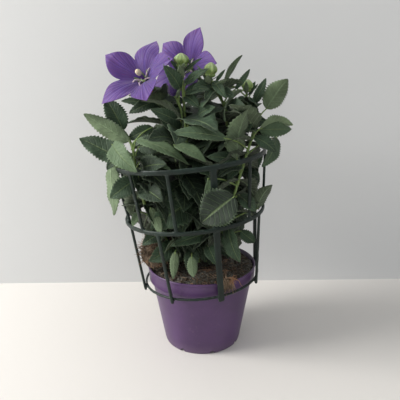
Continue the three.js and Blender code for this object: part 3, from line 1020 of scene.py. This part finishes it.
class FLOWER_OT_soil(bpy.types.Operator):
    """Build the potting mix: an uneven crumbly bed, a matted coir clump, loose crumbs and strands of coir"""

    bl_idname = "flower.soil"
    bl_label = "Potting mix"

    def execute(self, context):
        pot = context.scene.flower_pot
        rng = draws("soil")
        self.bed(pot)
        self.crumbs(pot, rng)
        self.clump(rng)
        self.strands(pot, rng)
        return {"FINISHED"}

    @staticmethod
    def bed(pot):
        """The bed itself, closed underneath."""
        low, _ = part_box("potting_mix")
        edge = pot.rim_radius - pot.wall - 1.4 * MM
        foot = pot.height - pot.band_height
        # The bed's top is spun far above the pot, and then laid down on the mix.
        top = 1.0
        profile = [
            (0, low.z),
            (pot.base_radius - pot.wall - 0.8 * MM, low.z),
            (pot.rim_radius - pot.band_step - pot.wall - 0.8 * MM, foot - 1.5 * MM),
            (edge, foot + 2.2 * MM),
            *((edge * (1 - i / 44), top) for i in range(45)),
        ]
        shell = bmesh.new()
        spun(shell, profile, UP, Vector(), 160)
        for vert in shell.verts:
            if vert.co.z > top / 2:
                x, y = vert.co.x, vert.co.y
                crumb = noise.fractal(Vector((x, y, 0)) * 180, 0.8, 2.2, 5) * 1.3 * MM
                vert.co.z = ground(x * 0.97, y * 0.97) + crumb + 0.6 * MM
        finish_piece("soil_bed", shell, [potting_mix()], ["potting_mix"])

    @staticmethod
    def crumbs(pot, rng):
        """Loose crumbs of peat and bark on the bed."""
        # Vector noise would otherwise start from the clock, and give other crumbs each time.
        noise.seed_set(bpy.context.scene.flower_plant.seed + SEEDS["soil"])
        shell = bmesh.new()
        for _ in range(420):
            reach = (pot.rim_radius - 3 * MM) * math.sqrt(rng.uniform(0.05, 1))
            turn = rng.uniform(0, math.tau)
            x, y = reach * math.cos(turn), reach * math.sin(turn)
            size = rng.uniform(0.5, 1.7) * MM * (1.25 if rng.random() < 0.15 else 1)
            place = Matrix.Translation((x, y, ground(x * 0.96, y * 0.96) + size * 0.7))
            squash = Matrix.Diagonal((rng.uniform(0.7, 1.7), rng.uniform(0.6, 1.1), rng.uniform(0.5, 0.9), 1))
            turned = Matrix.Rotation(rng.uniform(0, math.tau), 4, "Z")
            spin = turned @ Matrix.Rotation(rng.uniform(-0.5, 0.5), 4, "X")
            shape = place @ spin @ squash
            made = bmesh.ops.create_icosphere(shell, subdivisions=2, radius=size, matrix=shape)
            for vert in made["verts"]:
                vert.co += noise.noise_vector(vert.co * 900) * size * 0.3
        finish_piece("soil_crumbs", shell, [bpy.data.materials["potting_mix"]])

    @staticmethod
    def clump(rng):
        """The matted clump that leans out over the rim: a rough core bristling with strands."""
        low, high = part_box("coir_clump")
        centre, half = (low + high) / 2, (high - low) / 2
        shell = bmesh.new()
        place = Matrix.Translation(centre - Vector((0, 0, 2 * MM))) @ Matrix.Diagonal((*(half * 0.9), 1))
        bmesh.ops.create_icosphere(shell, subdivisions=6, radius=1, matrix=place)
        for vert in shell.verts:
            rough = noise.fractal(vert.co * 110, 0.7, 2.1, 6)
            out = (vert.co - centre).normalized()
            vert.co += out * rough * 2.6 * MM
            floor = ground(vert.co.x * 0.95, vert.co.y * 0.95) - 1 * MM
            if vert.co.xy.length > 0.048:
                floor = POT_HIGH.z + 0.2 * MM
            vert.co.z = max(vert.co.z, floor)
        dark = coir("coir_dark", 0.55, (0.05, 0.03, 0.02))
        finish_piece("clump_core", shell, [dark], ["coir_clump"])
        runs = []
        for _ in range(760):
            up = rng.uniform(-0.45, 1)
            turn = rng.uniform(0, math.tau)
            flat = math.sqrt(1 - up * up)
            out = Vector((math.cos(turn) * flat, math.sin(turn) * flat, up))
            start = centre + Vector(a * b for a, b in zip(out, half * 0.86))
            start.z = max(start.z, POT_HIGH.z - 1 * MM)
            drift = out + Vector((0, 0, 0.3))
            lean = jitter(rng)
            reach = rng.uniform(3.5, 10) * MM
            points, heading = [start], (drift + lean * 1.1).normalized()
            for _ in range(5):
                heading = (heading + jitter(rng, 0.8) * 0.45).normalized()
                points.append(points[-1] + heading * reach / 5)
            runs.append([(point, 1 - 0.13 * i) for i, point in enumerate(points)])
        dry = coir("coir_dry", 1.0, (0.33, 0.18, 0.10))
        tubes("clump_strands", runs, FIBRE_RADIUS, [dry], sides=0)

    @staticmethod
    def strands(pot, rng):
        """Loose strands over the bed, and a tuft that hangs over the rim at the front right."""
        runs = []
        for _ in range(300):
            turn = rng.uniform(0, math.tau)
            reach = (pot.rim_radius - 3 * MM) * math.sqrt(rng.uniform(0.1, 1))
            x, y = reach * math.cos(turn), reach * math.sin(turn)
            heading = rng.uniform(0, math.tau)
            step = rng.uniform(0.8, 2.2) * MM
            lift = rng.uniform(0.4, 1.4) * MM
            run = []
            for i in range(7):
                arch = lift * math.sin(math.pi * i / 6)
                run.append((Vector((x, y, ground(x * 0.96, y * 0.96) + 0.9 * MM + arch)), 1 - 0.1 * i))
                heading += rng.uniform(-0.7, 0.7)
                x, y = x + step * math.cos(heading), y + step * math.sin(heading)
                if math.hypot(x, y) > pot.rim_radius - 2.6 * MM:
                    break
            if len(run) > 2:
                runs.append(run)
        for _ in range(90):
            out = outward(math.radians(rng.gauss(-65, 2.0)))
            place = out * (pot.rim_radius - rng.uniform(1, 11) * MM)
            place.z = max(ground(place.x, place.y), pot.height - 2.5 * MM) + rng.uniform(0.5, 3) * MM
            heading = (out + UP * rng.uniform(0.0, 0.6)).normalized()
            points = [place]
            for _ in range(rng.randint(7, 13)):
                sag = 0.75 if place.xy.length > pot.rim_radius else 0.05
                heading = (heading * 0.8 + jitter(rng) * 0.5 - UP * sag).normalized()
                place = place + heading * 1.7 * MM
                if place.xy.length < pot.rim_radius + 0.3 * MM:
                    place.z = max(place.z, pot.height + 0.3 * MM)
                elif place.z < pot.height + 1 * MM:
                    place.xy *= max(1.0, (pot.rim_radius + 0.6 * MM) / place.xy.length)
                points.append(place)
            runs.append([(point, 2.2 - 0.08 * i) for i, point in enumerate(smooth_run(points, 2)[:20])])
        tubes("coir_strands", runs, FIBRE_RADIUS, [bpy.data.materials["coir_dry"]], sides=0)


# ---------------------------------------------------------------- stems and heads


class Head:
    """Where a flower or bud sits: its foot, the way it faces, and its own sideways directions."""

    def __init__(self, stem, turn=0.0):
        centres, self.facing = STEMS[stem]
        self.base = centres[-1] + self.facing * 0.3 * MM
        across = UP.cross(self.facing).normalized()
        spin = Matrix.Rotation(turn, 3, self.facing)
        self.across = spin @ across
        self.second = self.facing.cross(self.across)

    def at(self, angle, radius, height):
        """The point at an angle and a distance from the axis, and a height along it."""
        out = self.across * math.cos(angle) + self.second * math.sin(angle)
        return self.base + out * radius + self.facing * height


# A plain petal: its length as a share of the bloom's radius, how far it is raised, how sharply it is folded
# along its keel, and how far its tip curls to one side.
PETAL = (1.0, 0.05, 0.12, -0.04)
# For each bloom: its turn in degrees, its radius in millimetres, and its petals.
BLOOMS = {
    "left": (20, 37, [(0.97, 0.25, 0.75, 0.05), (1.0, -0.2, 0.12, -0.15), (1.1, 0.3, 0.12, -0.1),
                      (1.1, 0.05, 0.12, -0.05), PETAL]),
    "back": (73, 35, [PETAL] * 5),
}
# For each bud: its radius and height in millimetres, the size of its calyx, and how many bracts it has.
BUDS = {
    "middle": (7.2, 10.2, 1.0, 9), "right": (6.4, 10.8, 1.0, 9), "far_right": (6.0, 9.8, 0.9, 3),
    "purple": (4.6, 10.5, 0.5, 2),
}


def corolla(shell, head, radius, petals, rng):
    """Five broad pointed petals, joined for nearly half their length into a shallow bowl."""
    reach, across = (shell.verts.layers.float.new(name) for name in ("reach", "across"))
    steps, rings, sector = 150, 30, math.tau / 5
    throat, bowl = 0.10, 0.40
    made = bmesh.ops.create_grid(shell, x_segments=steps, y_segments=rings, size=0.5)["verts"]
    waves = [rng.uniform(0, math.tau) for _ in petals]
    for vert in made:
        share = vert.co.y + 0.5
        turn = -(vert.co.x + 0.5) * math.tau - sector / 2
        index = round(turn / sector)
        offset = turn - index * sector
        t = min(1.0, abs(offset) / (sector / 2))
        size, lift, keel, curl = petals[index % 5]
        notch = 0.52 + 0.015 * math.cos(waves[index % 5])
        outline = size - (size - notch) * (0.76 * t**0.8 + 0.24 * t**8)
        rho = throat + (outline - throat) * share
        free = min(1.0, max(0.0, (rho - 0.38) / 0.5))
        flare = 1 - (1 - min(1, rho)) ** 2.3
        crease = keel * (1 - t) ** 1.5 * free * 0.22
        dimple = 0.035 * math.cos(t * math.pi) * min(1, rho * 2) * (1 - free)
        tip = -0.18 * max(0.0, rho - 0.72) ** 1.5
        edge = 0.030 * free * t * math.sin(waves[index % 5] + share * 9 + (4 if offset > 0 else 0))
        height = bowl * flare + lift * free * (rho - 0.3) + tip - crease + dimple + edge
        angle = turn + curl * max(0.0, rho - 0.6)
        vert.co = head.at(angle, rho * radius * (1 - 0.25 * max(0, lift) * free), height * radius)
        vert[reach] = min(1.0, rho)
        vert[across] = t
    bmesh.ops.remove_doubles(shell, verts=shell.verts, dist=0.02 * MM)


def cup(shell, head, radius, height, sepal, narrow, lift):
    """A calyx: a ribbed green cup under the head, and five narrow pointed sepals."""
    made = bmesh.ops.create_uvsphere(shell, u_segments=30, v_segments=14, radius=1)["verts"]
    for vert in made:
        turn = math.atan2(vert.co.y, vert.co.x)
        rib = 1 + 0.06 * math.cos(5 * turn)
        vert.co = head.at(turn, vert.co.xy.length * radius * rib, (vert.co.z + 0.55) * height)
    for index in range(5):
        turn = math.tau * (index + 0.5) / 5
        sheet = bmesh.ops.create_grid(shell, x_segments=10, y_segments=4, size=0.5)["verts"]
        for vert in sheet:
            u, v = vert.co.x + 0.5, vert.co.y * 2
            half = narrow * (1 - u) ** 0.8 * v
            out = radius * (0.9 + lift * u * (1 - 0.3 * u)) + 0.15 * abs(v) * narrow
            up = height * 0.9 + sepal * u * (1 - 0.35 * lift * u)
            vert.co = head.at(turn - half / out, out, up)


def balloon(shell, head, radius, height):
    """A bud: five swollen faces between ribs, drawn in to a blunt point."""
    reach, across = (shell.verts.layers.float.new(name) for name in ("reach", "across"))
    made = bmesh.ops.create_uvsphere(shell, u_segments=80, v_segments=40, radius=1)["verts"]
    for vert in made:
        share = (vert.co.z + 1) / 2
        turn = math.atan2(vert.co.y, vert.co.x)
        rib = abs(math.cos(2.5 * turn))
        girth = math.sin(math.pi * share) ** 0.55 if 0 < share < 1 else 0.0
        swell = girth * (0.90 + 0.10 * rib**6 * (1 - share * 0.3) - 0.03 * math.sin(math.pi * rib))
        point = 0.4 * max(0, share - 0.9)
        vert.co = head.at(turn, radius * swell * (1 - 0.12 * share), height * (0.08 + 0.92 * share + point))
        vert[reach] = share
        vert[across] = rib


class FLOWER_OT_stems(bpy.types.Operator):
    """Build the stems: each rises from the mix, swollen a little where its leaves are set"""

    bl_idname = "flower.stems"
    bl_label = "Stems"

    def execute(self, context):
        plant = context.scene.flower_plant
        green = stem_skin("stem_green", tuple(plant.stem))
        for index, name in enumerate(STEM_NODES):
            centres = STEMS[name][0]
            foot = centres[0] - UP * 5 * MM
            points = smooth_run([foot, *centres], 5)
            run = []
            phase = draws("stems", index).uniform(0, 1)
            for point in points:
                rise = point.z / (13.5 * MM) + phase
                knot = math.exp(-(((rise + 0.5) % 1 - 0.5) / 0.10) ** 2)
                thin = 1.0 - 0.28 * max(0, point.z - 0.08) / 0.18
                run.append((point, thin + 0.22 * knot * (point.z < 0.235)))
            tubes("stalk" + name.removeprefix("stem"), [run], 1.4 * MM, [green], [name], sides=4)
        return {"FINISHED"}


class FLOWER_OT_blooms(bpy.types.Operator):
    """Build the open flowers: petals, calyx, style with its stigma, and withered stamens"""

    bl_idname = "flower.blooms"
    bl_label = "Open flowers"

    def execute(self, context):
        plant = context.scene.flower_plant
        inner = petal_skin("petal_inner", 1.0, 1.0)
        outer = petal_skin("petal_outer", 0.8, 1.25)
        cream = stigma_skin("stigma_cream", tuple(plant.style), shade(tuple(plant.style), 0.7))
        column = stigma_skin("style_violet", (0.12, 0.05, 0.24), (0.05, 0.02, 0.12))
        pale = stigma_skin("stamen_pale", (0.62, 0.55, 0.52), (0.38, 0.27, 0.38))
        for index, (place, (turn, radius, petals)) in enumerate(BLOOMS.items()):
            rng = draws("blooms", index)
            head = Head("stem_flower_" + place, math.radians(turn))
            shell = bmesh.new()
            corolla(shell, head, radius * MM, petals, rng)
            piece = finish_piece("bloom_" + place, shell, [inner, outer], ["corolla_" + place])
            solid = piece.modifiers.new("petal_thickness", "SOLIDIFY")
            solid.thickness, solid.offset, solid.material_offset = plant.petal_thickness, 0, 1
            shell = bmesh.new()
            cup(shell, head, 4.2 * MM, 3.4 * MM, 9 * MM, 2.2 * MM, 0.9)
            finish_piece("calyx_" + place, shell, [bpy.data.materials["stem_green"]])
            self.pistil(head, place, column, cream)
            self.stamens(head, place, pale, rng)
        return {"FINISHED"}

    @staticmethod
    def pistil(head, place, column, cream):
        """The violet style, and the cream stigma that tops it."""
        foot, top = 2.0 * MM, 10.5 * MM
        heights = [foot + (top - foot) * i / 8 for i in range(9)]
        run = [(head.at(0, 0, h), 1.25 - 0.35 * i / 8) for i, h in enumerate(heights)]
        tubes("style_column_" + place, [run], 1.5 * MM, [column], ["style_" + place], sides=4)
        shell = bmesh.new()
        for vert in bmesh.ops.create_uvsphere(shell, u_segments=40, v_segments=24, radius=1)["verts"]:
            turn = math.atan2(vert.co.y, vert.co.x)
            groove = 1 - 0.10 * abs(math.cos(2.5 * turn)) ** 6
            width = 2.4 * MM * vert.co.xy.length * groove * (1 + 0.12 * vert.co.z)
            vert.co = head.at(turn, width, top + 1.8 * MM + vert.co.z * 3.5 * MM)
        finish_piece("stigma_" + place, shell, [cream])

    @staticmethod
    def stamens(head, place, pale, rng):
        """Five withered stamens that curl back from the foot of the style."""
        runs = []
        for index in range(5):
            turn = math.tau * (index + 0.5) / 5 + rng.uniform(-0.2, 0.2)
            reach = rng.uniform(7.5, 10) * MM
            points = []
            for i in range(9):
                share = i / 8
                out = 2.2 * MM + reach * share
                height = 3.0 * MM + 4.5 * MM * math.sin(share * 2.4)
                thick = 1.5 - 0.9 * abs(share - 0.25)
                points.append((head.at(turn + 0.35 * share * share, out, height), thick))
            runs.append(points)
        tubes("stamens_" + place, runs, 0.55 * MM, [pale], sides=2)


class FLOWER_OT_buds(bpy.types.Operator):
    """Build the buds: green or purple balloons, each in its calyx"""

    bl_idname = "flower.buds"
    bl_label = "Buds"

    def execute(self, context):
        green = bud_skin()
        purple = petal_skin("bud_purple_skin", 0.55, 0.6)
        for index, (place, (radius, height, calyx, count)) in enumerate(BUDS.items()):
            head = Head("stem_bud_" + place, 0.3)
            shell = bmesh.new()
            balloon(shell, head, radius * MM, height * MM)
            skin = purple if place == "purple" else green
            finish_piece("balloon_" + place, shell, [skin], ["bud_" + place])
            shell = bmesh.new()
            size = calyx * MM
            cup(shell, head, radius * 0.72 * size, 2.4 * size, 4.6 * size, 1.5 * MM, 0.55)
            finish_piece("calyx_" + place, shell, [bpy.data.materials["stem_green"]])
            shell = bmesh.new()
            self.bracts(shell, head, count, draws("bracts", index))
            leaf_piece("bracts_" + place, shell, context.scene.flower_plant.leaf_thickness)
        return {"FINISHED"}

    @staticmethod
    def bracts(shell, head, count, rng):
        """The narrow leaves that stand close round the foot of a bud."""
        for index in range(count):
            turn = index * 2.4 + rng.uniform(-0.3, 0.3)
            drop = (0.5 + 1.5 * index) * MM
            reach = rng.uniform(11, 15) * MM + drop * 0.6
            lean = rng.uniform(0.5, 0.95) + 0.02 * index
            base = head.at(turn, 1.0 * MM, -drop)
            tip = head.at(turn, reach * math.sin(lean), reach * math.cos(lean) - drop)
            width = rng.uniform(2.6, 4.4) * MM + 0.25 * drop
            side = leaf_side(base, tip, rng.uniform(-25, 25))
            blade(shell, base, tip, side, width, -0.001, rng, rng.uniform(0.1, 0.5), rows=18, columns=4)


# ---------------------------------------------------------------- stage


class FLOWER_OT_stage(bpy.types.Operator):
    """Build the stage: floor, backdrop, light and camera"""

    bl_idname = "flower.stage"
    bl_label = "Stage"

    def execute(self, context):
        scene, settings = context.scene, context.scene.flower_stage
        floor_finish = Finish("stage_floor", base_color=tuple(settings.floor), roughness=0.7)
        wall_finish = Finish("stage_wall", base_color=tuple(settings.wall), roughness=0.9)
        self.see_through_from_behind(wall_finish)
        spread = Matrix.Diagonal((4, 4, 1, 1))
        floor = self.sheet("floor", spread, floor_finish.material)
        upright = Matrix.Translation((0, settings.wall_distance, 2)) @ Matrix.Rotation(math.pi / 2, 4, "X")
        wall = self.sheet("backdrop", upright @ spread, wall_finish.material)

        world = bpy.data.worlds.new("sky")
        world.use_nodes = True
        sky = world.node_tree.nodes["Background"].inputs
        sky["Color"].default_value = (0.95, 0.97, 1.0, 1)
        sky["Strength"].default_value = 0.66
        scene.world = world
        self.lamp("window", (-1.45, -0.22, 0.95), (0, 0, 0.14), 0.9, 37.0, (1.0, 0.985, 0.96))
        scene.view_settings.view_transform = "Standard"

        lens = bpy.data.cameras.new("camera")
        lens.lens, lens.sensor_width = settings.lens, 36
        lens.clip_start, lens.clip_end = 0.01, 20
        camera = linked("camera", lens)
        camera.location = (settings.camera_side, -settings.camera_distance, settings.camera_height)
        aim = Matrix.Rotation(math.pi / 2 - settings.pitch, 4, "X") @ Matrix.Rotation(settings.roll, 4, "Z")
        camera.rotation_euler = aim.to_euler()
        scene.camera = camera
        return {"FINISHED"}

    @staticmethod
    def sheet(name, place, material):
        """A flat square of the stage."""
        shell = bmesh.new()
        bmesh.ops.create_grid(shell, x_segments=1, y_segments=1, size=1, matrix=place)
        mesh = mesh_of(name, shell)
        mesh.materials.append(material)
        return linked(name, mesh)

    @staticmethod
    def see_through_from_behind(finish):
        """The backdrop's rear face doesn't show, so the part can be looked at from behind."""
        clear = finish.node("ShaderNodeBsdfTransparent")
        back = finish.node("ShaderNodeNewGeometry", output="Backfacing")
        shown = finish.tree.nodes.new("ShaderNodeMixShader")
        finish.tree.links.new(back.socket, shown.inputs[0])
        finish.tree.links.new(finish.shader.outputs[0], shown.inputs[1])
        finish.tree.links.new(clear.socket, shown.inputs[2])
        finish.tree.links.new(shown.outputs[0], finish.tree.nodes["Material Output"].inputs["Surface"])

    @staticmethod
    def lamp(name, place, target, size, power, tone):
        """A soft round lamp turned to a target."""
        light = bpy.data.lights.new(name, "AREA")
        light.shape, light.size, light.energy, light.color = "DISK", size, power, tone
        lamp = linked(name, light)
        lamp.location = place
        lamp.rotation_euler = (Vector(target) - Vector(place)).to_track_quat("-Z", "Y").to_euler()


# ---------------------------------------------------------------- add-on


class FLOWER_PT_panel(bpy.types.Panel):
    """The sidebar panel, with a button for each piece of the plant"""

    bl_idname = "FLOWER_PT_panel"
    bl_label = "Balloon flower"
    bl_space_type = "VIEW_3D"
    bl_region_type = "UI"
    bl_category = "Balloon flower"

    def draw(self, context):
        for group in SETTINGS:
            box = self.layout.box()
            for name in SETTINGS[group].__annotations__:
                box.prop(getattr(context.scene, group), name)
        for operator in OPERATORS:
            self.layout.operator(operator.bl_idname)


SETTINGS = {
    "flower_pot": PotSettings, "flower_plant": PlantSettings, "flower_cage": CageSettings,
    "flower_stage": StageSettings,
}
OPERATORS = (
    FLOWER_OT_pot, FLOWER_OT_soil, FLOWER_OT_cage, FLOWER_OT_stems, FLOWER_OT_leaves, FLOWER_OT_blooms,
    FLOWER_OT_buds, FLOWER_OT_stage,
)
CLASSES = (*SETTINGS.values(), *OPERATORS, FLOWER_PT_panel)


def register():
    for cls in CLASSES:
        bpy.utils.register_class(cls)
    for name, group in SETTINGS.items():
        setattr(bpy.types.Scene, name, PointerProperty(type=group))


def unregister():
    for name in SETTINGS:
        delattr(bpy.types.Scene, name)
    for cls in reversed(CLASSES):
        bpy.utils.unregister_class(cls)


def main():
    """Build every piece and the stage."""
    register()
    for operator in OPERATORS:
        group, name = operator.bl_idname.split(".")
        getattr(getattr(bpy.ops, group), name)()


if __name__ == "__main__":
    main()
